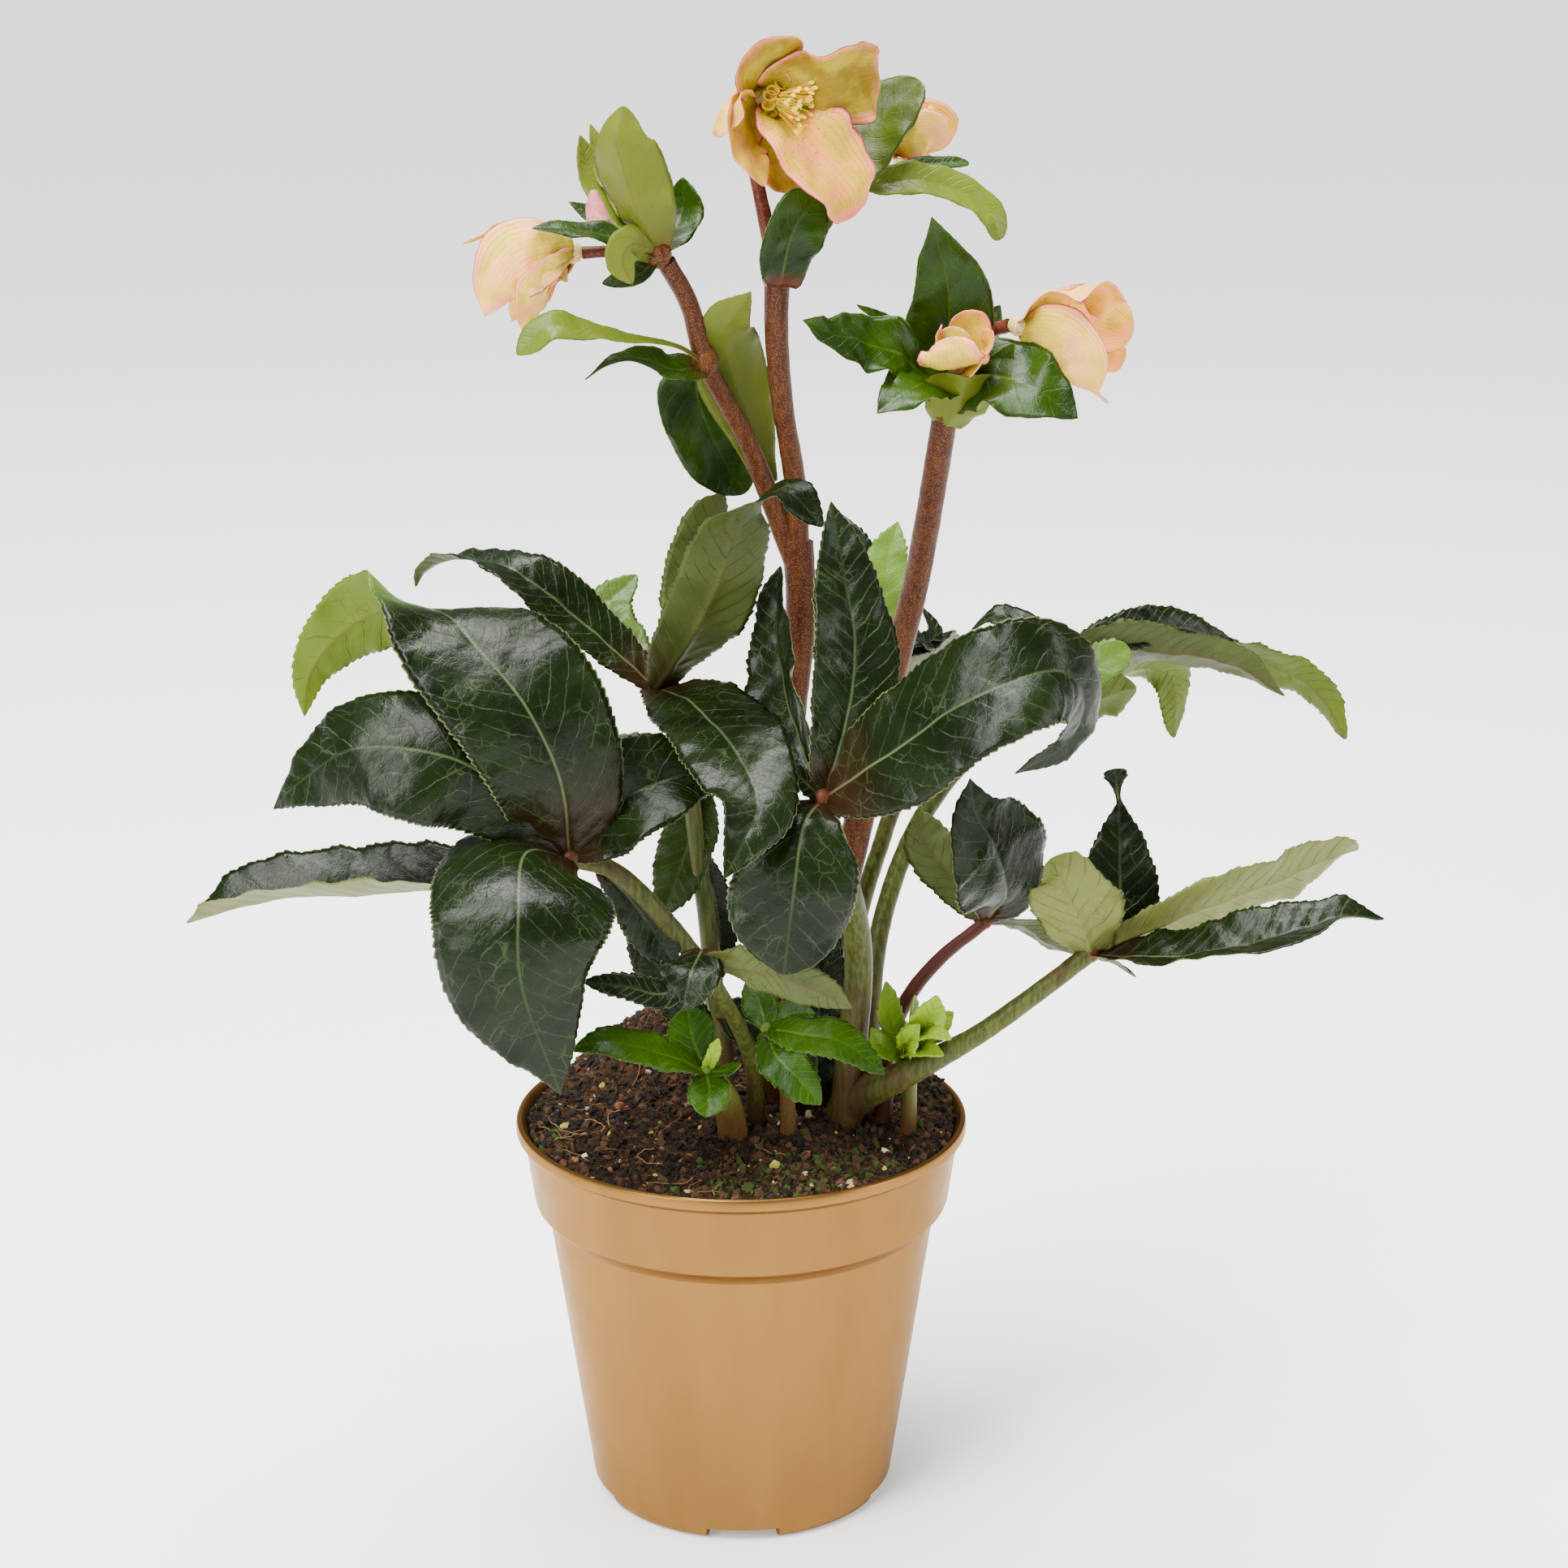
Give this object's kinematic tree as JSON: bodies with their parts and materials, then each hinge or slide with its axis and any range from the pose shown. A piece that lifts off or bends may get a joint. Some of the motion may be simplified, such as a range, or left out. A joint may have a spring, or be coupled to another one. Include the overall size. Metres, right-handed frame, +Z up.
{
  "type": "potted hellebore plant",
  "caption": "Flowering hellebore with cream bell-shaped blooms, leathery toothed leaves and tan stems, growing in a round tapered gold nursery pot.",
  "frame": {"origin": "middle of the pot's underside", "axes": "+Z up the plant; the plant's front, where the blooms face, looks along -Y; +X is to the viewer's right"},
  "size_m": [0.387, 0.239, 0.4865],
  "materials": {
    "gold_plastic": "satin metallic gold",
    "peat": "matt crumbs",
    "old_leaf": "leathery, glossy above",
    "young_leaf": "soft, slightly glossy",
    "stem": "satin, finely speckled",
    "bract": "satin",
    "sepal": "soft and slightly translucent",
    "flower_heart": "matt"
  },
  "bodies": {
    "root": {"leaf_front_left": "old_leaf", "leaf_back_left": "old_leaf", "leaf_centre": "old_leaf", "leaf_back": "old_leaf", "leaf_far_right": "old_leaf", "leaf_middle_right": "old_leaf", "leaf_low_right": "old_leaf", "leaf_low_front": "old_leaf", "shoot_left": "young_leaf", "shoot_middle": "young_leaf", "shoot_right": "young_leaf", "stem_left_and_centre": "stem", "stem_right": "stem", "stem_leaves_left": "bract", "bracts_left": "bract", "bracts_centre": "bract", "bracts_right": "bract", "bloom_left": "sepal", "bloom_centre": "sepal", "bloom_back": "sepal", "bloom_right": "sepal", "bloom_opening": "sepal", "bud_left": "sepal", "bloom_left_heart": "flower_heart", "bloom_centre_heart": "flower_heart", "bloom_back_heart": "flower_heart", "bloom_right_heart": "flower_heart", "potting_soil": "peat", "pot": "gold_plastic"}
  },
  "joints": []
}
